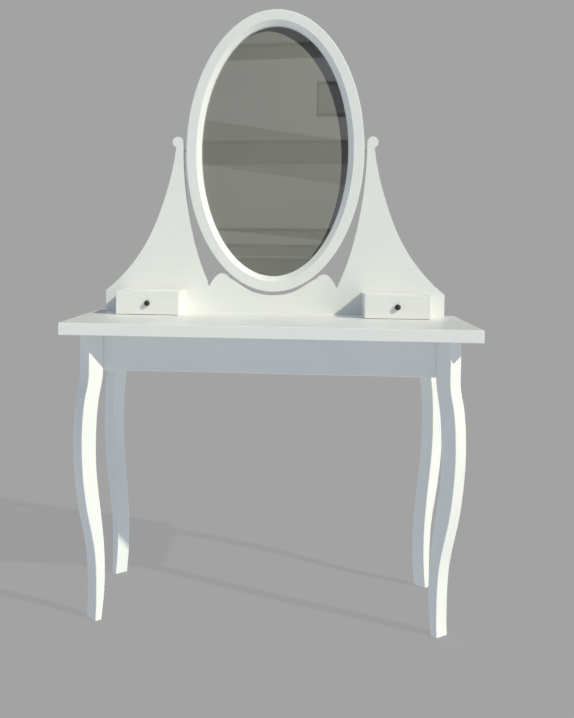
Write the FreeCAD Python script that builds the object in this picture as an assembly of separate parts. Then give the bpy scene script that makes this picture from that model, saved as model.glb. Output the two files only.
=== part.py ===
import FreeCAD, Part
import math
import os

from FreeCAD import Vector

# Miniature dressing table at 1:12, in millimetres.
# +Z is up, -Y is the front and +X is the right-hand side seen from the front.
# The origin lies on the floor under the middle of the table top.

# Table top
TABLE_HEIGHT = 61.7
TOP_WIDTH = 83.3
TOP_DEPTH = 41.7
TOP_THICKNESS = 2.5

# Legs: S-shaped planks set on the corner diagonals, given at the middle of the foot.
# Legs and aprons stand a little behind the middle of the top, which overhangs more at the front.
LEG_X = 35.0
LEG_Y = 15.85
LEG_SETBACK = 0.65
LEG_WIDTH = 3.3
POST_BOTTOM = 52.0
POST_OUTER = 2.75
POST_INNER = -0.78

# Apron frame: its mitred corners are cut off square to the diagonals, for the legs
APRON_HEIGHT = 7.4
APRON_THICKNESS = 1.5
APRON_SETBACK = 0.4
BLOCK_LEG = 5.0
BLOCK_HEIGHT = 6.4

# Mirror stand: one board that stands on the back of the table top
STAND_FRONT = 18.4
STAND_THICKNESS = 2.0
STAND_HALF_WIDTH = 39.05
FINIAL_X = 22.35
FINIAL_HEIGHT = 39.5
FINIAL_RADIUS = 1.25
CRADLE_GAP = 0.78
STAND_DOWEL_X = (-34.0, -12.0, 12.0, 34.0)

# Oval mirror: half widths and half heights of its ellipses
MIRROR_CENTRE = 37.36
FRAME_A = 20.42
FRAME_B = 32.32
FRAME_THICKNESS = 2.6
FACE_WIDTH = 2.36
BEVEL_WIDTH = 1.17
BEVEL_DEPTH = 0.78
REBATE_WIDTH = 1.0
GLASS_SETBACK = 1.6
GLASS_THICKNESS = 0.3
BACKING_THICKNESS = 0.3
PANE_PLAY = 0.1
GLAZING_PINS = 8
GLAZING_PIN_RADIUS = 0.15
GLAZING_PIN_OUT = 0.8
GLAZING_PIN_IN = 1.0

# Mirror pivots
PIVOT_RADIUS = 0.3
PIVOT_PLAY = 0.05
PIVOT_DEPTH = 1.4
PIVOT_OUTER = 22.5

# Drawers
DRAWER_X = 27.52
CASE_WIDTH = 14.24
CASE_HEIGHT = 5.3
CASE_BOARD = 0.9
CASE_FLOOR = 0.6
FRONT_FACE = 6.22
FRONT_THICKNESS = 1.2
FRONT_GAP = 0.1
FRONT_LIFT = 0.08
DRAWER_SIDE_PLAY = 0.2
DRAWER_HEIGHT_PLAY = 0.15
DRAWER_BACK_PLAY = 0.5
DRAWER_BOARD = 0.7
DRAWER_FLOOR = 0.5

# Knobs
KNOB_RADIUS = 0.64
KNOB_PROJECTION = 0.8
KNOB_WAIST_LENGTH = 0.2
KNOB_WAIST_RADIUS = 0.36
KNOB_TIP_RADIUS = 0.12
KNOB_HEIGHT = 2.63
KNOB_STEM_RADIUS = 0.28

# Dowels and edges
DOWEL_RADIUS = 0.5
DOWEL_IN_TOP = 1.4
DOWEL_LENGTH = 3.9
GLUE_GAP = 0.02
EDGE = 0.15

TOP_UNDERSIDE = TABLE_HEIGHT - TOP_THICKNESS
APRON_BOTTOM = TOP_UNDERSIDE - APRON_HEIGHT
STAND_MIDDLE = STAND_FRONT + STAND_THICKNESS / 2
PIVOT_Z = TABLE_HEIGHT + MIRROR_CENTRE
SIDES = {"left": -1, "right": 1}
CORNERS = {
    "front_left": (-1, -1),
    "front_right": (1, -1),
    "back_left": (-1, 1),
    "back_right": (1, 1),
}


def export(shape, node):
    shape.exportStep(f"parts/{node}.step")


def box(x0, x1, y0, y1, z0, z1):
    return Part.makeBox(x1 - x0, y1 - y0, z1 - z0, Vector(x0, y0, z0))


def board(x0, x1, y0, y1, z0, z1, edge=EDGE):
    """A box whose edges are all slightly rounded, as sanded before painting."""
    plain = box(x0, x1, y0, y1, z0, z1)
    return plain.makeFillet(edge, plain.Edges)


def rod(radius, start, end):
    return Part.makeCylinder(radius, (end - start).Length, start, end - start)


def line(start, end):
    return Part.LineSegment(start, end).toShape()


def spline(points, first_tangent=None, last_tangent=None):
    curve = Part.BSplineCurve()
    if first_tangent is None:
        curve.interpolate(Points=points)
    else:
        curve.interpolate(Points=points, InitialTangent=first_tangent, FinalTangent=last_tangent)
    return curve.toShape()


def prism(edges, direction):
    return Part.Face(Part.Wire(edges)).extrude(direction)


def ellipse_wire(a, b, y):
    """An upright ellipse about the mirror's centre, in the plane at this y."""
    centre = Vector(0, y, PIVOT_Z)
    top = centre + Vector(0, 0, b)
    side = centre + Vector(a, 0, 0)
    return Part.Wire(Part.Ellipse(top, side, centre).toShape())


def ellipse_plate(a, b, y0, y1):
    return Part.Face(ellipse_wire(a, b, y0)).extrude(Vector(0, y1 - y0, 0))


# ---------------------------------------------------------------- legs

def leg_blank():
    """One leg with its foot's middle on the origin and its knee towards +X."""
    up = Vector(0, 0, 1)
    side = Vector(0, -LEG_WIDTH / 2, 0)
    outer = [(0.8, 0), (0.6, 6.0), (1.15, 15.0), (2.8, 22.3), (4.15, 31.5), (4.4, 38.0),
             (3.5, 47.0), (POST_OUTER, POST_BOTTOM)]
    inner = [(-0.75, 0), (-1.58, 10.0), (-0.6, 21.7), (0.65, 31.0), (0.85, 38.0),
             (0.0, 47.0), (POST_INNER, POST_BOTTOM)]
    outer_points = [Vector(u, 0, z) + side for u, z in outer]
    inner_points = [Vector(u, 0, z) + side for u, z in inner]
    outer_top = Vector(POST_OUTER, 0, TOP_UNDERSIDE) + side
    inner_top = Vector(POST_INNER, 0, TOP_UNDERSIDE) + side
    outline = [
        spline(outer_points, Vector(-0.1, 0, 1), up),
        line(outer_points[-1], outer_top),
        line(outer_top, inner_top),
        line(inner_top, inner_points[-1]),
        spline(inner_points[::-1], Vector(0, 0, -1), Vector(0.15, 0, -1)),
        line(inner_points[0], outer_points[0]),
    ]
    blank = prism(outline, Vector(0, LEG_WIDTH, 0))
    long_edges = [edge for edge in blank.Edges if edge.BoundBox.ZLength > LEG_WIDTH]
    return blank.makeFillet(EDGE, long_edges)


def dowel_ends(x, y, z_joint):
    """A dowel's two ends across the face of the table top at z_joint."""
    into_top = DOWEL_IN_TOP
    rest = DOWEL_LENGTH - DOWEL_IN_TOP
    if z_joint == TOP_UNDERSIDE:
        return Vector(x, y, z_joint - rest), Vector(x, y, z_joint + into_top)
    return Vector(x, y, z_joint - into_top), Vector(x, y, z_joint + rest)


def corner_angle(side_x, side_y):
    return math.degrees(math.atan2(side_y, side_x))


def leg_dowel_ends():
    post_middle = (POST_OUTER + POST_INNER) / 2
    along = post_middle / math.sqrt(2)
    ends = []
    for side_x, side_y in CORNERS.values():
        x = side_x * (LEG_X + along)
        y = LEG_SETBACK + side_y * (LEG_Y + along)
        ends.append(dowel_ends(x, y, TOP_UNDERSIDE))
    return ends


def make_legs():
    blank = leg_blank()
    holes = [rod(DOWEL_RADIUS + GLUE_GAP, start, end) for start, end in leg_dowel_ends()]
    for (corner, (side_x, side_y)), hole in zip(CORNERS.items(), holes):
        leg = blank.copy()
        leg.rotate(Vector(), Vector(0, 0, 1), corner_angle(side_x, side_y))
        leg.translate(Vector(side_x * LEG_X, LEG_SETBACK + side_y * LEG_Y, 0))
        export(leg.cut(hole), f"leg_{corner}")
    dowels = [rod(DOWEL_RADIUS, start, end) for start, end in leg_dowel_ends()]
    export(Part.makeCompound(dowels), "leg_dowels")


# ---------------------------------------------------------------- table top and aprons

def stand_dowel_ends():
    return [dowel_ends(x, STAND_MIDDLE, TABLE_HEIGHT) for x in STAND_DOWEL_X]


def make_table_top():
    half_width = TOP_WIDTH / 2
    half_depth = TOP_DEPTH / 2
    top = board(-half_width, half_width, -half_depth, half_depth, TOP_UNDERSIDE, TABLE_HEIGHT)
    for start, end in leg_dowel_ends() + stand_dowel_ends():
        top = top.cut(rod(DOWEL_RADIUS + GLUE_GAP, start, end))
    export(top, "table_top")


def mitred_apron(half_length, face, cut):
    """The apron on the -Y side: half_length and face are its mitred outer corner."""
    inside = face - APRON_THICKNESS
    shoulder = half_length - cut
    nose = half_length - cut / 2
    heel = half_length - APRON_THICKNESS
    plan = [(-shoulder, -face), (shoulder, -face), (nose, -face + cut / 2), (heel, -inside),
            (-heel, -inside), (-nose, -face + cut / 2)]
    corners = [Vector(x, y, APRON_BOTTOM) for x, y in plan]
    outline = Part.makePolygon(corners + corners[:1])
    return Part.Face(outline).extrude(Vector(0, 0, APRON_HEIGHT))


def make_aprons():
    half_x = LEG_X + APRON_SETBACK
    half_y = LEG_Y + APRON_SETBACK
    # the leg's inner face lies this far out along the diagonal, and the corner is cut to it
    cut = 2 * APRON_SETBACK - POST_INNER * math.sqrt(2)
    long_apron = mitred_apron(half_x, half_y, cut)
    short_apron = mitred_apron(half_y, half_x, cut)
    turns = {"front": (long_apron, 0), "right": (short_apron, 90),
             "back": (long_apron, 180), "left": (short_apron, 270)}
    for name, (blank, angle) in turns.items():
        apron = blank.copy()
        apron.rotate(Vector(), Vector(0, 0, 1), angle)
        apron.translate(Vector(0, LEG_SETBACK, 0))
        export(apron, f"apron_{name}")


def make_corner_blocks():
    half_x = LEG_X + APRON_SETBACK - APRON_THICKNESS
    half_y = LEG_Y + APRON_SETBACK - APRON_THICKNESS
    for corner, (side_x, side_y) in CORNERS.items():
        plan = [(half_x, half_y), (half_x - BLOCK_LEG, half_y), (half_x, half_y - BLOCK_LEG)]
        bottom = Vector(0, LEG_SETBACK, TOP_UNDERSIDE - BLOCK_HEIGHT)
        points = [bottom + Vector(side_x * x, side_y * y, 0) for x, y in plan]
        outline = Part.makePolygon(points + points[:1])
        export(Part.Face(outline).extrude(Vector(0, 0, BLOCK_HEIGHT)), f"corner_block_{corner}")


# ---------------------------------------------------------------- mirror stand

def stand_half_outline(side):
    """The board's outline from the middle of its foot to the middle of its cradle."""
    def point(x, height):
        return Vector(side * x, STAND_FRONT, TABLE_HEIGHT + height)

    def cradle_height(x):
        a = FRAME_A + CRADLE_GAP
        b = FRAME_B + CRADLE_GAP
        return MIRROR_CENTRE - b * math.sqrt(1 - (x / a) ** 2)

    outer_curve = [(STAND_HALF_WIDTH, 4.9), (33.3, 10.6), (29.0, 17.2), (25.9, 24.8),
                   (23.7, 32.6), (22.75, 38.2)]
    inner_curve = [(21.05, 38.5), (20.75, 31.0), (19.6, 22.3), (17.6, 13.7), (14.7, 6.05)]
    bump = [(14.7, 6.05), (13.5, 8.1), (12.0, 9.15), (10.9, 9.0), (10.05, cradle_height(10.05))]
    cradle = [(x, cradle_height(x)) for x in (10.05, 5.2, 0.0)]
    inside_finial = (FINIAL_X, FINIAL_HEIGHT)
    return [
        line(point(0, 0), point(STAND_HALF_WIDTH, 0)),
        line(point(STAND_HALF_WIDTH, 0), point(*outer_curve[0])),
        spline([point(*place) for place in outer_curve]),
        line(point(*outer_curve[-1]), point(*inside_finial)),
        line(point(*inside_finial), point(21.1, FINIAL_HEIGHT)),
        line(point(21.1, FINIAL_HEIGHT), point(*inner_curve[0])),
        spline([point(*place) for place in inner_curve]),
        spline([point(*place) for place in bump]),
        spline([point(*place) for place in cradle], point(5.2, 0) - point(10.05, 2.3),
               Vector(-side, 0, 0)),
    ]


def make_mirror_stand():
    thickness = Vector(0, STAND_THICKNESS, 0)
    halves = []
    for side in SIDES.values():
        outline = stand_half_outline(side)
        middle = outline[-1].Vertexes[-1].Point
        outline.append(line(middle, Vector(0, STAND_FRONT, TABLE_HEIGHT)))
        half = prism(outline, thickness)
        finial_start = Vector(side * FINIAL_X, STAND_FRONT, TABLE_HEIGHT + FINIAL_HEIGHT)
        finial = rod(FINIAL_RADIUS, finial_start, finial_start + thickness)
        halves.append(half.fuse(finial).removeSplitter())
    stand = halves[0].fuse(halves[1]).removeSplitter()
    for start, end in stand_dowel_ends():
        stand = stand.cut(rod(DOWEL_RADIUS + GLUE_GAP, start, end))
    for side in SIDES.values():
        bore_start = Vector(side * FRAME_A, STAND_MIDDLE, PIVOT_Z)
        bore_end = Vector(side * STAND_HALF_WIDTH, STAND_MIDDLE, PIVOT_Z)
        stand = stand.cut(rod(PIVOT_RADIUS + PIVOT_PLAY, bore_start, bore_end))
    export(stand, "mirror_stand")
    dowels = [rod(DOWEL_RADIUS, start, end) for start, end in stand_dowel_ends()]
    export(Part.makeCompound(dowels), "stand_dowels")


# ---------------------------------------------------------------- oval mirror

def glazing_pin(index, y):
    """A headless pin through the rebate's wall, square to the ellipse."""
    a = FRAME_A - FACE_WIDTH - BEVEL_WIDTH + REBATE_WIDTH
    b = FRAME_B - FACE_WIDTH - BEVEL_WIDTH + REBATE_WIDTH
    angle = 2 * math.pi * (index + 0.5) / GLAZING_PINS
    on_wall = Vector(a * math.cos(angle), y, PIVOT_Z + b * math.sin(angle))
    outward = Vector(math.cos(angle) / a, 0, math.sin(angle) / b).normalize()
    start = on_wall - outward * GLAZING_PIN_OUT
    return rod(GLAZING_PIN_RADIUS, start, on_wall + outward * GLAZING_PIN_IN)


def pivot_pin(side):
    start = Vector(side * (FRAME_A - PIVOT_DEPTH), STAND_MIDDLE, PIVOT_Z)
    end = Vector(side * PIVOT_OUTER, STAND_MIDDLE, PIVOT_Z)
    return rod(PIVOT_RADIUS, start, end)


def make_mirror():
    front = STAND_MIDDLE - FRAME_THICKNESS / 2
    back = STAND_MIDDLE + FRAME_THICKNESS / 2
    bevel_back = front + BEVEL_DEPTH
    glass_front = front + GLASS_SETBACK
    backing_front = glass_front + GLASS_THICKNESS
    backing_back = backing_front + BACKING_THICKNESS
    face_a = FRAME_A - FACE_WIDTH
    face_b = FRAME_B - FACE_WIDTH
    sight_a = face_a - BEVEL_WIDTH
    sight_b = face_b - BEVEL_WIDTH
    rebate_a = sight_a + REBATE_WIDTH
    rebate_b = sight_b + REBATE_WIDTH

    blank = ellipse_plate(FRAME_A, FRAME_B, front, back)
    blank = blank.makeFillet(EDGE, blank.Edges)
    bevel_wires = [ellipse_wire(face_a, face_b, front), ellipse_wire(sight_a, sight_b, bevel_back)]
    bevel = Part.makeLoft(bevel_wires, True, True)
    lip = ellipse_plate(sight_a, sight_b, bevel_back, glass_front)
    rebate = ellipse_plate(rebate_a, rebate_b, glass_front, back)
    frame = blank.cut(bevel).cut(lip).cut(rebate)

    pins = [glazing_pin(i, backing_back + GLAZING_PIN_RADIUS) for i in range(GLAZING_PINS)]
    for pin in pins + [pivot_pin(side) for side in SIDES.values()]:
        frame = frame.cut(pin)
    export(frame, "mirror_frame")
    export(Part.makeCompound(pins), "glazing_pins")

    pane_a = rebate_a - PANE_PLAY
    pane_b = rebate_b - PANE_PLAY
    export(ellipse_plate(pane_a, pane_b, glass_front, backing_front), "mirror_glass")
    export(ellipse_plate(pane_a, pane_b, backing_front, backing_back), "mirror_backing")
    for name, side in SIDES.items():
        export(pivot_pin(side), f"pivot_pin_{name}")


# ---------------------------------------------------------------- drawers

def make_drawer_case(name, centre):
    """Four boards; the mirror stand closes the back."""
    x0 = centre - CASE_WIDTH / 2
    x1 = centre + CASE_WIDTH / 2
    y0 = FRONT_FACE + FRONT_THICKNESS + FRONT_GAP
    z0 = TABLE_HEIGHT
    z_floor = z0 + CASE_FLOOR
    z_top = z0 + CASE_HEIGHT
    z_lid = z_top - CASE_BOARD
    export(board(x0, x1, y0, STAND_FRONT, z_lid, z_top), f"case_top_{name}")
    export(box(x0, x1, y0, STAND_FRONT, z0, z_floor), f"case_bottom_{name}")
    wall_at = {"left": (x0, x0 + CASE_BOARD), "right": (x1 - CASE_BOARD, x1)}
    for wall, (wall_x0, wall_x1) in wall_at.items():
        place = "outer" if wall == name else "inner"
        export(box(wall_x0, wall_x1, y0, STAND_FRONT, z_floor, z_lid), f"case_{place}_side_{name}")


def make_drawer(name, centre):
    x0 = centre - CASE_WIDTH / 2 + CASE_BOARD + DRAWER_SIDE_PLAY
    x1 = centre + CASE_WIDTH / 2 - CASE_BOARD - DRAWER_SIDE_PLAY
    y0 = FRONT_FACE + FRONT_THICKNESS
    y1 = STAND_FRONT - DRAWER_BACK_PLAY
    z0 = TABLE_HEIGHT + CASE_FLOOR + DRAWER_HEIGHT_PLAY
    z1 = TABLE_HEIGHT + CASE_HEIGHT - CASE_BOARD - DRAWER_HEIGHT_PLAY
    y_back = y1 - DRAWER_BOARD
    wall_at = {"left": (x0, x0 + DRAWER_BOARD), "right": (x1 - DRAWER_BOARD, x1)}
    for wall, (wall_x0, wall_x1) in wall_at.items():
        place = "outer" if wall == name else "inner"
        export(box(wall_x0, wall_x1, y0, y1, z0, z1), f"drawer_{place}_side_{name}")
    inside_x0 = x0 + DRAWER_BOARD
    inside_x1 = x1 - DRAWER_BOARD
    export(box(inside_x0, inside_x1, y_back, y1, z0, z1), f"drawer_back_{name}")
    floor = box(inside_x0, inside_x1, y0, y_back, z0, z0 + DRAWER_FLOOR)
    export(floor, f"drawer_bottom_{name}")

    front_x0 = centre - CASE_WIDTH / 2
    front_x1 = centre + CASE_WIDTH / 2
    front_z0 = TABLE_HEIGHT + FRONT_LIFT
    front_z1 = TABLE_HEIGHT + CASE_HEIGHT
    front = board(front_x0, front_x1, FRONT_FACE, y0, front_z0, front_z1)
    stem_hole = rod(KNOB_STEM_RADIUS + GLUE_GAP, Vector(centre, FRONT_FACE, TABLE_HEIGHT + KNOB_HEIGHT),
                    Vector(centre, y0, TABLE_HEIGHT + KNOB_HEIGHT))
    export(front.cut(stem_hole), f"drawer_front_{name}")


def make_knob(name, centre):
    """A turned knob: a stem in the drawer front, a short waist and a round head."""
    middle_z = TABLE_HEIGHT + KNOB_HEIGHT

    def point(radius, forward):
        return Vector(centre + radius, FRONT_FACE - forward, middle_z)

    head_length = KNOB_PROJECTION - KNOB_WAIST_LENGTH
    head_middle = KNOB_WAIST_LENGTH + head_length / 2
    bulge = math.sqrt(0.5)
    back_bulge = point(KNOB_WAIST_RADIUS + (KNOB_RADIUS - KNOB_WAIST_RADIUS) * bulge,
                       head_middle - head_length / 2 * bulge)
    front_bulge = point(KNOB_RADIUS * bulge, head_middle + head_length / 2 * bulge)
    waist_end = point(KNOB_WAIST_RADIUS, KNOB_WAIST_LENGTH)
    widest = point(KNOB_RADIUS, head_middle)
    tip = point(KNOB_TIP_RADIUS, KNOB_PROJECTION)
    outline = [
        line(point(0, -FRONT_THICKNESS), point(KNOB_STEM_RADIUS, -FRONT_THICKNESS)),
        line(point(KNOB_STEM_RADIUS, -FRONT_THICKNESS), point(KNOB_STEM_RADIUS, 0)),
        line(point(KNOB_STEM_RADIUS, 0), point(KNOB_WAIST_RADIUS, 0)),
        line(point(KNOB_WAIST_RADIUS, 0), waist_end),
        Part.Arc(waist_end, back_bulge, widest).toShape(),
        Part.Arc(widest, front_bulge, tip).toShape(),
        line(tip, point(0, KNOB_PROJECTION)),
        line(point(0, KNOB_PROJECTION), point(0, -FRONT_THICKNESS)),
    ]
    turned = Part.Face(Part.Wire(outline)).revolve(point(0, 0), Vector(0, -1, 0), 360)
    export(Part.makeSolid(turned.Shells[0]), f"knob_{name}")


os.makedirs("parts", exist_ok=True)
make_legs()
make_table_top()
make_aprons()
make_corner_blocks()
make_mirror_stand()
make_mirror()
for side_name, side_sign in SIDES.items():
    make_drawer_case(side_name, side_sign * DRAWER_X)
    make_drawer(side_name, side_sign * DRAWER_X)
    make_knob(side_name, side_sign * DRAWER_X)
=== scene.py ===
import math

import bpy
from mathutils import Matrix, Vector

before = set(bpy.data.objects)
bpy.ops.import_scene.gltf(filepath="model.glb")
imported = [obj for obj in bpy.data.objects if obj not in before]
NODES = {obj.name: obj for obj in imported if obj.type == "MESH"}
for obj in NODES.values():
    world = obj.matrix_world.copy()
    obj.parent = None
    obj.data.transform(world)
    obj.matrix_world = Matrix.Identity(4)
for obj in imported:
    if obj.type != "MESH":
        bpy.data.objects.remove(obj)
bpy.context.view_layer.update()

MM = 0.001


# ---------------------------------------------------------------- shader graphs

class Graph:
    """Adds nodes to a shader tree. An input given as a socket is linked; any other value is set."""

    def __init__(self, tree):
        self.tree = tree
        tree.nodes.clear()

    def add(self, kind, inputs=None, **settings):
        node = self.tree.nodes.new(kind)
        for name, value in settings.items():
            setattr(node, name, value)
        for name, value in (inputs or {}).items():
            socket = node.inputs[name]
            if isinstance(value, bpy.types.NodeSocket):
                self.tree.links.new(value, socket)
            else:
                socket.default_value = value
        return node

    def math(self, operation, a, b=0.0, clamp=False):
        inputs = {0: a, 1: b}
        return self.add("ShaderNodeMath", inputs, operation=operation, use_clamp=clamp).outputs[0]

    def mix(self, factor, a, b, blend="MIX"):
        """A colour mix; 6 and 7 are the node's colour inputs, and 2 is its colour output."""
        inputs = {0: factor, 6: a, 7: b}
        return self.add("ShaderNodeMix", inputs, data_type="RGBA", blend_type=blend).outputs[2]

    def remap(self, value, low, high, to_low=0.0, to_high=1.0):
        inputs = {
            "Value": value, "From Min": low, "From Max": high, "To Min": to_low, "To Max": to_high}
        return self.add("ShaderNodeMapRange", inputs, clamp=True).outputs[0]

    def object_coords(self, scale=(1, 1, 1)):
        coords = self.add("ShaderNodeTexCoord").outputs["Object"]
        return self.add("ShaderNodeMapping", {"Vector": coords, "Scale": scale}).outputs[0]

    def noise(self, vector, scale, detail=3.0, roughness=0.5):
        inputs = {"Vector": vector, "Scale": scale, "Detail": detail, "Roughness": roughness}
        return self.add("ShaderNodeTexNoise", inputs).outputs[0]

    def bump(self, height, distance, strength=1.0, normal=None):
        inputs = {"Height": height, "Distance": distance, "Strength": strength}
        if normal is not None:
            inputs["Normal"] = normal
        return self.add("ShaderNodeBump", inputs).outputs[0]

    def worn_edges(self, radius, low, high):
        """1 on the convex and concave edges within this radius, 0 on flat faces."""
        rounded = self.add("ShaderNodeBevel", {"Radius": radius}, samples=6).outputs[0]
        plain = self.add("ShaderNodeNewGeometry").outputs["Normal"]
        turn = self.add("ShaderNodeVectorMath", {0: rounded, 1: plain}, operation="DOT_PRODUCT")
        return self.remap(turn.outputs["Value"], high, low)

    def surface(self, shader):
        self.add("ShaderNodeOutputMaterial", {"Surface": shader.outputs[0]})


def material(name):
    made = bpy.data.materials.new(name)
    made.use_nodes = True
    return made, Graph(made.node_tree)


def grain_scale(axis, across, along):
    """Noise scales for fibres that run along this axis (0, 1 or 2)."""
    scale = [across, across, across]
    scale[axis] = along
    return scale


# ---------------------------------------------------------------- materials

# Tones are linear red, green and blue, and a fourth number of 1 makes a tone a node colour.
PAINT = (0.86, 0.868, 0.85)
# The oval frame's paint is the same white made slightly darker, as painted shade on the frame.
SHADED_FRAME_PAINT = (0.85, 0.862, 0.84)
BLOTCH_SHARES = (0.955, 0.965, 0.98)
BRUSHED_SHARE = 0.955
FIBRE_TONE = (0.72, 0.70, 0.65, 1)
RUBBED_TONE = (0.60, 0.50, 0.37, 1)
# Painted shade in corners: its tone, how much it darkens the paint at most, and how far the occlusion
# test reaches.
CORNER_SHADE_TONE = (0.50, 0.48, 0.44, 1)
CORNER_SHADE_MOST = 0.12
RUBBED_EDGE = 0.16 * MM
CORNER_SHADE_REACH = 0.4 * MM
LIME_WOOD = ((0.74, 0.60, 0.42), (0.62, 0.47, 0.30))
PORE_SHARE = 0.6
BOARD_TONES = ((0.30, 0.185, 0.10, 1), (0.42, 0.28, 0.165, 1))
FLECK_TONE = (0.52, 0.40, 0.27, 1)
SILVER_TONES = ((0.95, 0.95, 0.91, 1), (0.92, 0.925, 0.88, 1))
CUT_GLASS_TONES = ((0.18, 0.27, 0.24, 1), (0.27, 0.36, 0.33, 1))

# The haze on the mirror: the direction across its wiping marks, its share, its tone and its spread
ACROSS_WIPING = (0.829, 0.0, 0.559)
HAZE_SHARE = (0.195, 0.21)
HAZE_TONE = (0.88, 0.905, 0.90, 1)
HAZE_ROUGHNESS = (0.59, 0.61)
HAZE_STREAKING = 0.76

# Each metal: a light tone, a dark tone, how metallic it is, and its smoothest and roughest patches
BRONZE = ((0.066, 0.066, 0.056), (0.040, 0.040, 0.034), 0.5, 0.34, 0.5)
STEEL = ((0.56, 0.56, 0.57), (0.38, 0.38, 0.39), 1.0, 0.28, 0.45)
PALE_BRASS = ((0.92, 0.88, 0.76), (0.82, 0.77, 0.64), 0.9, 0.4, 0.55)
METAL_EDGE = 0.08 * MM
X_AXIS, Y_AXIS, Z_AXIS = range(3)


def painted_wood(name, axis, paint, seed=0.0):
    """Satin off-white paint over fine-grained wood: brush lines, faint blotches, rubbed edges, and
    painted shade that darkens its corners and recesses.
    """
    made, g = material(name)
    fibres = g.noise(g.object_coords(grain_scale(axis, 2600, 110)), 1.0, 4.0, 0.6)
    brush = g.noise(g.object_coords(grain_scale(axis, 900, 45)), 1.0, 2.0)
    blotches = g.noise(g.object_coords((1, 1, 1)), 55.0 + seed, 3.0, 0.55)
    peel = g.noise(g.object_coords((1, 1, 1)), 1900.0, 2.0)

    cool = [c * s for c, s in zip(paint, BLOTCH_SHARES)]
    tone = g.mix(g.remap(blotches, 0.35, 0.68), (*paint, 1), (*cool, 1))
    streaked = [c * BRUSHED_SHARE for c in paint]
    tone = g.mix(g.math("MULTIPLY", g.remap(brush, 0.45, 0.75), 0.5), tone, (*streaked, 1))
    tone = g.mix(g.math("MULTIPLY", g.remap(fibres, 0.56, 0.8), 0.35), tone, FIBRE_TONE)

    patches = g.remap(g.noise(g.object_coords((1, 1, 1)), 420.0 + seed, 4.0, 0.65), 0.5, 0.68)
    edge = g.worn_edges(RUBBED_EDGE, 0.72, 0.97)
    rubbed = g.math("MULTIPLY", g.math("MULTIPLY", edge, patches), 0.42)
    tone = g.mix(rubbed, tone, RUBBED_TONE)

    # Painted shade: the paint is darkened where the ambient-occlusion test finds corners, creases and
    # recesses close around it.
    hollow = g.add("ShaderNodeAmbientOcclusion", {"Distance": CORNER_SHADE_REACH}, samples=6).outputs["AO"]
    corner_shade = g.remap(hollow, 0.7, 0.3, 0.0, CORNER_SHADE_MOST)
    tone = g.mix(corner_shade, tone, CORNER_SHADE_TONE)

    gloss = g.remap(blotches, 0.3, 0.7, 0.36, 0.47)
    gloss = g.math("ADD", gloss, g.math("MULTIPLY", rubbed, 0.5))
    relief = g.bump(peel, 0.006 * MM, 0.5)
    relief = g.bump(fibres, 0.012 * MM, 0.6, relief)
    relief = g.bump(brush, 0.02 * MM, 0.5, relief)
    g.surface(g.add("ShaderNodeBsdfPrincipled", {
        "Base Color": tone, "Roughness": gloss, "Normal": relief,
        "Coat Weight": 0.12, "Coat Roughness": 0.3, "IOR": 1.47}))
    return made


def bare_wood(name, axis, light, dark):
    """Sanded, unfinished wood: growth rings as bands, pores as short dark dashes."""
    made, g = material(name)
    coords = g.object_coords(grain_scale(axis, 1.0, 0.06))
    warp = g.noise(coords, 260.0, 3.0)
    rings = g.add("ShaderNodeTexWave", {
        "Vector": coords, "Scale": 190.0, "Distortion": 5.0, "Detail": 3.0, "Detail Scale": 1.6},
        bands_direction="DIAGONAL").outputs[0]
    pores = g.noise(g.object_coords(grain_scale(axis, 5200, 420)), 1.0, 3.0, 0.6)
    banding = g.math("MULTIPLY", rings, g.remap(warp, 0.3, 0.7, 0.25, 0.8))
    tone = g.mix(banding, (*light, 1), (*dark, 1))
    pore_tone = [c * PORE_SHARE for c in dark]
    tone = g.mix(g.remap(pores, 0.58, 0.74, 0.0, 0.5), tone, (*pore_tone, 1))
    relief = g.bump(pores, 0.03 * MM, 0.6)
    relief = g.bump(rings, 0.02 * MM, 0.3, relief)
    g.surface(g.add("ShaderNodeBsdfPrincipled", {
        "Base Color": tone, "Roughness": g.remap(rings, 0.0, 1.0, 0.62, 0.74), "Normal": relief}))
    return made


def fibre_board(name):
    """Brown pressed board with matted fibres."""
    made, g = material(name)
    mat = g.noise(g.object_coords((1500, 1500, 700)), 1.0, 5.0, 0.7)
    flecks = g.noise(g.object_coords((900, 900, 3400)), 1.0, 3.0, 0.6)
    tone = g.mix(g.remap(mat, 0.3, 0.7), *BOARD_TONES)
    tone = g.mix(g.remap(flecks, 0.6, 0.72, 0.0, 0.6), tone, FLECK_TONE)
    relief = g.bump(mat, 0.03 * MM, 0.8)
    g.surface(g.add("ShaderNodeBsdfPrincipled", {
        "Base Color": tone, "Roughness": g.remap(flecks, 0.3, 0.7, 0.6, 0.8), "Normal": relief}))
    return made


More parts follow.
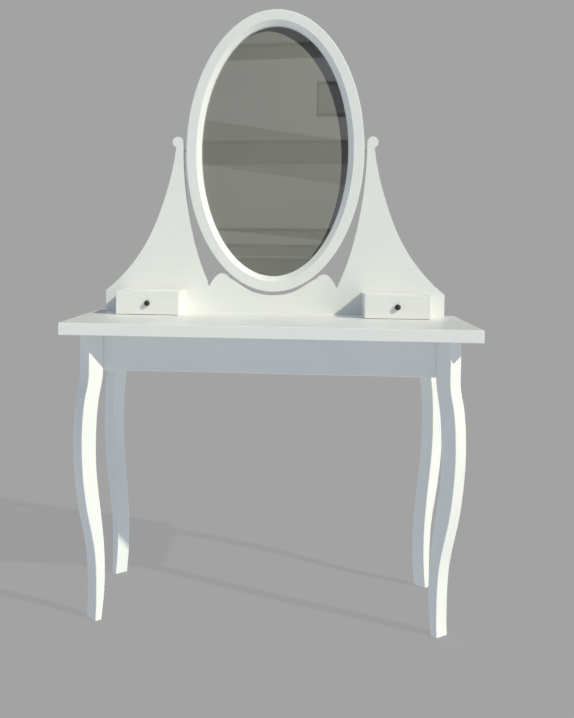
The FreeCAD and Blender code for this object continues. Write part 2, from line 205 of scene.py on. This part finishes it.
def mirror_silver(name):
    """A silvered pane: a sharp mirror, a thin haze of fine wiping marks, and a green-grey cut edge.

    The haze spreads a highlight across its marks, so it shows the shadow that falls on the pane.
    """
    made, g = material(name)
    smears = g.noise(g.object_coords((90, 90, 240)), 1.0, 4.0, 0.6)
    specks = g.noise(g.object_coords((1, 1, 1)), 2400.0, 2.0)
    smeared = g.remap(smears, 0.4, 0.75, 0.0, 0.02)
    polish = g.math("ADD", smeared, g.remap(specks, 0.72, 0.8, 0.0, 0.1))
    tone = g.mix(g.remap(smears, 0.45, 0.75), *SILVER_TONES)
    silver = g.add("ShaderNodeBsdfPrincipled", {
        "Base Color": tone, "Metallic": 1.0, "Roughness": polish})
    across_marks = g.add("ShaderNodeVectorTransform", {0: ACROSS_WIPING},
                         vector_type="VECTOR", convert_from="OBJECT", convert_to="WORLD").outputs[0]
    haze = g.add("ShaderNodeBsdfPrincipled", {
        "Base Color": HAZE_TONE, "Metallic": 1.0, "Anisotropic": HAZE_STREAKING,
        "Roughness": g.remap(smears, 0.3, 0.7, *HAZE_ROUGHNESS), "Tangent": across_marks})
    share = g.remap(smears, 0.4, 0.75, *HAZE_SHARE)
    face = g.add("ShaderNodeMixShader", {0: share, 1: silver.outputs[0], 2: haze.outputs[0]})
    cut = g.add("ShaderNodeBsdfPrincipled", {
        "Base Color": g.mix(smears, *CUT_GLASS_TONES), "Roughness": g.remap(smears, 0, 1, 0.15, 0.3)})
    normal = g.add("ShaderNodeNewGeometry").outputs["True Normal"]
    facing = g.add("ShaderNodeSeparateXYZ", {0: normal}).outputs["Y"]
    flat = g.remap(g.math("ABSOLUTE", facing), 0.5, 0.8)
    g.surface(g.add("ShaderNodeMixShader", {0: flat, 1: cut.outputs[0], 2: face.outputs[0]}))
    return made


def metal(name, light, dark, metallic, smooth, rough):
    """Cast or drawn metal with patchy polish."""
    made, g = material(name)
    patches = g.noise(g.object_coords((1, 1, 1)), 1500.0, 4.0, 0.6)
    scratches = g.noise(g.object_coords((9000, 9000, 1200)), 1.0, 2.0)
    tone = g.mix(g.remap(patches, 0.35, 0.7), (*dark, 1), (*light, 1))
    edge = g.worn_edges(METAL_EDGE, 0.7, 0.97)
    bright = [min(1.0, c * 2.5 + 0.02) for c in light]
    tone = g.mix(g.math("MULTIPLY", edge, 0.25), tone, (*bright, 1))
    relief = g.bump(scratches, 0.004 * MM, 0.5)
    g.surface(g.add("ShaderNodeBsdfPrincipled", {
        "Base Color": tone, "Metallic": metallic, "Normal": relief,
        "Roughness": g.remap(patches, 0.3, 0.7, smooth, rough)}))
    return made


def dress(names, made):
    for name in names:
        mesh = NODES[name].data
        mesh.materials.clear()
        mesh.materials.append(made)


def nodes_like(*starts):
    return [name for name in NODES if name.startswith(starts)]


dress(["table_top", "apron_front", "apron_back"], painted_wood("paint_lengthways", X_AXIS, PAINT))
dress(["mirror_stand"], painted_wood("paint_stand", X_AXIS, PAINT, 3.0))
dress(["apron_left", "apron_right"], painted_wood("paint_crossways", Y_AXIS, PAINT, 5.0))
dress(nodes_like("leg_front", "leg_back"), painted_wood("paint_legs", Z_AXIS, PAINT, 7.0))
dress(nodes_like("case_", "drawer_front"), painted_wood("paint_drawers", X_AXIS, PAINT, 9.0))
dress(["mirror_frame"], painted_wood("paint_oval", Z_AXIS, SHADED_FRAME_PAINT, 11.0))
drawer_inside = [name for name in nodes_like("drawer_") if "front" not in name]
dress(drawer_inside, bare_wood("bare_drawer_wood", Y_AXIS, *LIME_WOOD))
under_the_top = nodes_like("corner_block", "leg_dowels", "stand_dowels")
dress(under_the_top, bare_wood("bare_block_wood", Z_AXIS, *LIME_WOOD))
dress(["mirror_backing"], fibre_board("fibre_board"))
dress(["mirror_glass"], mirror_silver("mirror_silver"))
dress(nodes_like("knob_"), metal("dark_bronze", *BRONZE))
dress(["glazing_pins"], metal("steel_wire", *STEEL))
dress(nodes_like("pivot_pin"), metal("pale_brass_wire", *PALE_BRASS))


# ---------------------------------------------------------------- stage

BACKDROP = 0.366
FLOOR_RADIUS = 1.6
FLOOR_GLOW = 0.85
FLOOR_PAINT = 0.41
FLOOR_FADE = (0.12, 0.5)
FILL_ABOVE = (0.285, 0.325, 0.39, 1)
FILL_LEFT = (0.385, 0.438, 0.525, 1)
FILL_RIGHT = (0.465, 0.515, 0.585, 1)
FILL_BELOW = (0.635, 0.69, 0.725, 1)


def make_floor():
    """A pale disc that fades into the backdrop's grey around the object, and lights it from below.

    It is clear from underneath, so that the object's underside can be seen.
    """
    bpy.ops.mesh.primitive_circle_add(vertices=96, radius=FLOOR_RADIUS, fill_type="NGON")
    floor = bpy.context.object
    floor.name = "studio_floor"
    made, g = material("studio_floor")
    place = g.add("ShaderNodeTexCoord").outputs["Object"]
    distance = g.add("ShaderNodeVectorMath", {0: place}, operation="LENGTH").outputs["Value"]
    lights_object = g.add("ShaderNodeLightPath").outputs["Is Diffuse Ray"]
    colour = g.mix(lights_object, (BACKDROP, BACKDROP, BACKDROP, 1), FILL_BELOW)
    glow = g.add("ShaderNodeEmission", {"Color": colour, "Strength": 1.0})
    paper = g.add("ShaderNodeBsdfDiffuse", {"Color": (FLOOR_PAINT, FLOOR_PAINT, FLOOR_PAINT, 1)})
    fade = g.remap(distance, *FLOOR_FADE, FLOOR_GLOW, 1.0)
    top = g.add("ShaderNodeMixShader", {0: fade, 1: paper.outputs[0], 2: glow.outputs[0]})
    from_below = g.add("ShaderNodeNewGeometry").outputs["Backfacing"]
    clear = g.add("ShaderNodeBsdfTransparent")
    g.surface(g.add("ShaderNodeMixShader", {0: from_below, 1: top.outputs[0], 2: clear.outputs[0]}))
    floor.data.materials.append(made)


# The walls that reflections show. Places are directions: sideways and up, per unit forward.
# A panel has the heights of its top and bottom edges at the left and right sides, how dark it is,
# and how much darker the line along its top edge is. Away from the front the walls are paler.
LEFT_SIDE = -0.09
RIGHT_SIDE = 0.035
WALL = 0.094
DIMMER_BELOW = 0.022
DIMMER_FROM = (0.11, 0.0)
WALL_TINT = (0.97, 1.0, 1.08, 1)
WALL_PANELS = [
    ((0.300, 0.300), (0.181, 0.183), 0.037, 0.0),
    ((0.181, 0.183), (0.166, 0.169), 0.070, 0.055),
    ((0.112, 0.094), (0.093, 0.094), 0.046, 0.0),
    ((0.093, 0.094), (0.071, 0.072), 0.073, 0.022),
    ((0.071, 0.072), (0.071, 0.053), 0.040, 0.0),
    ((0.013, 0.013), (0.012, 0.001), 0.050, 0.030),
    ((-0.002, -0.002), (-0.013, -0.013), 0.046, 0.046),
    ((-0.0145, -0.0145), (-0.050, -0.050), 0.058, 0.042),
]
DARKEST = 0.004
PALE_WALL = 0.22
PALE_FROM = (0.45, 0.9)
LINE_THICKNESS = 0.003
EDGE_SOFTNESS = 0.0007
WINDOW_LEFT = 0.011
WINDOW_HEIGHTS = (0.115, 0.147)
WINDOW_DEPTH = 0.058
WINDOW_LINE = 0.045

SUNLIGHT = Vector((-1.18, 0.70, -1.0))
SUN_STRENGTH = 2.82
SUN_COLOUR = (1.0, 0.960, 0.785)
SUN_WIDTH = math.radians(1.0)

# The camera: its place, its turn to the left, its tip down and its roll in radians, and its lens
EYE = Vector((0.006724, -0.232053, 0.078155))
TURN = 0.113
TIP = 0.049
ROLL = 0.010
FOCAL_LENGTH = 54.111
SHIFT = (0.15, -0.09)
CLIP = (0.01, 20.0)


def wall_colour(g, direction):
    """The dim panelled walls, with one small window, as a colour for each direction."""
    parts = g.add("ShaderNodeSeparateXYZ", {0: direction}).outputs
    forward = g.math("MAXIMUM", g.math("ABSOLUTE", parts["Y"]), 0.05)
    sideways = g.math("DIVIDE", parts["X"], forward)
    up = g.math("DIVIDE", parts["Z"], forward)

    def above(edge, lowered=0.0):
        """1 where this direction is above a sloping edge, 0 where it is below."""
        slope = (edge[1] - edge[0]) / (RIGHT_SIDE - LEFT_SIDE)
        start = edge[0] - slope * LEFT_SIDE - lowered
        level = g.math("ADD", g.math("MULTIPLY", sideways, slope), start)
        return g.remap(g.math("SUBTRACT", up, level), -EDGE_SOFTNESS, EDGE_SOFTNESS)

    def right_of(place):
        return g.remap(sideways, place - EDGE_SOFTNESS, place + EDGE_SOFTNESS)

    def darken(level, where, depth):
        return g.math("SUBTRACT", level, g.math("MULTIPLY", where, depth))

    level = g.math("SUBTRACT", WALL, g.remap(up, *DIMMER_FROM, 0.0, DIMMER_BELOW))
    for top, bottom, depth, line_depth in WALL_PANELS:
        level = darken(level, g.math("SUBTRACT", above(bottom), above(top), clamp=True), depth)
        if line_depth > 0:
            line = g.math("SUBTRACT", above(top, LINE_THICKNESS), above(top), clamp=True)
            level = darken(level, line, line_depth)

    low, high = WINDOW_HEIGHTS
    between = g.math("SUBTRACT", above((low, low)), above((high, high)))
    sill = above((low, low), -LINE_THICKNESS)
    lintel = above((high, high), LINE_THICKNESS)
    window = g.math("MULTIPLY", right_of(WINDOW_LEFT), between)
    inner_right = right_of(WINDOW_LEFT + LINE_THICKNESS / 2)
    opening = g.math("MULTIPLY", inner_right, g.math("SUBTRACT", sill, lintel))
    level = darken(level, window, WINDOW_DEPTH)
    level = darken(level, g.math("SUBTRACT", window, opening, clamp=True), WINDOW_LINE)
    around = g.remap(g.math("ABSOLUTE", sideways), *PALE_FROM, DARKEST, PALE_WALL)
    ceiling = g.remap(up, *PALE_FROM, DARKEST, PALE_WALL)
    level = g.math("MAXIMUM", level, g.math("MAXIMUM", around, ceiling))
    grey = g.add("ShaderNodeCombineColor", {0: level, 1: level, 2: level}).outputs[0]
    return g.mix(1.0, grey, WALL_TINT, "MULTIPLY")


def make_world():
    """Grey behind the object, a cool soft fill, and dim panelled walls for the mirror to reflect."""
    world = bpy.data.worlds.new("studio")
    bpy.context.scene.world = world
    world.use_nodes = True
    g = Graph(world.node_tree)
    ray = g.add("ShaderNodeLightPath").outputs
    direction = g.add("ShaderNodeTexCoord").outputs["Generated"]
    parts = g.add("ShaderNodeSeparateXYZ", {0: direction}).outputs
    around = g.mix(g.remap(parts["X"], -0.6, 0.6), FILL_LEFT, FILL_RIGHT)
    upper = g.mix(g.remap(parts["Z"], 0.1, 0.7), around, FILL_ABOVE)
    fill = g.mix(g.remap(parts["Z"], -0.3, -0.05), FILL_BELOW, upper)
    seen = g.mix(ray["Is Glossy Ray"], fill, wall_colour(g, direction))
    seen = g.mix(ray["Is Camera Ray"], seen, (BACKDROP, BACKDROP, BACKDROP, 1))
    sky = g.add("ShaderNodeBackground", {"Color": seen, "Strength": 1.0})
    g.add("ShaderNodeOutputWorld", {"Surface": sky.outputs[0]})


def make_sun():
    lamp = bpy.data.lights.new("key", "SUN")
    lamp.energy = SUN_STRENGTH
    lamp.color = SUN_COLOUR
    lamp.angle = SUN_WIDTH
    holder = bpy.data.objects.new("key", lamp)
    holder.rotation_mode = "QUATERNION"
    holder.rotation_quaternion = SUNLIGHT.to_track_quat("-Z", "Y")
    bpy.context.scene.collection.objects.link(holder)


def make_camera():
    camera = bpy.data.cameras.new("camera")
    camera.lens = FOCAL_LENGTH
    camera.shift_x, camera.shift_y = SHIFT
    camera.clip_start, camera.clip_end = CLIP
    holder = bpy.data.objects.new("camera", camera)
    bpy.context.scene.collection.objects.link(holder)
    turn = Matrix.Rotation(TURN, 4, "Z")
    tip = Matrix.Rotation(math.pi / 2 - TIP, 4, "X")
    roll = Matrix.Rotation(ROLL, 4, "Z")
    holder.matrix_world = Matrix.Translation(EYE) @ turn @ tip @ roll
    bpy.context.scene.camera = holder


make_floor()
make_world()
make_sun()
make_camera()
bpy.context.scene.view_settings.view_transform = "Standard"
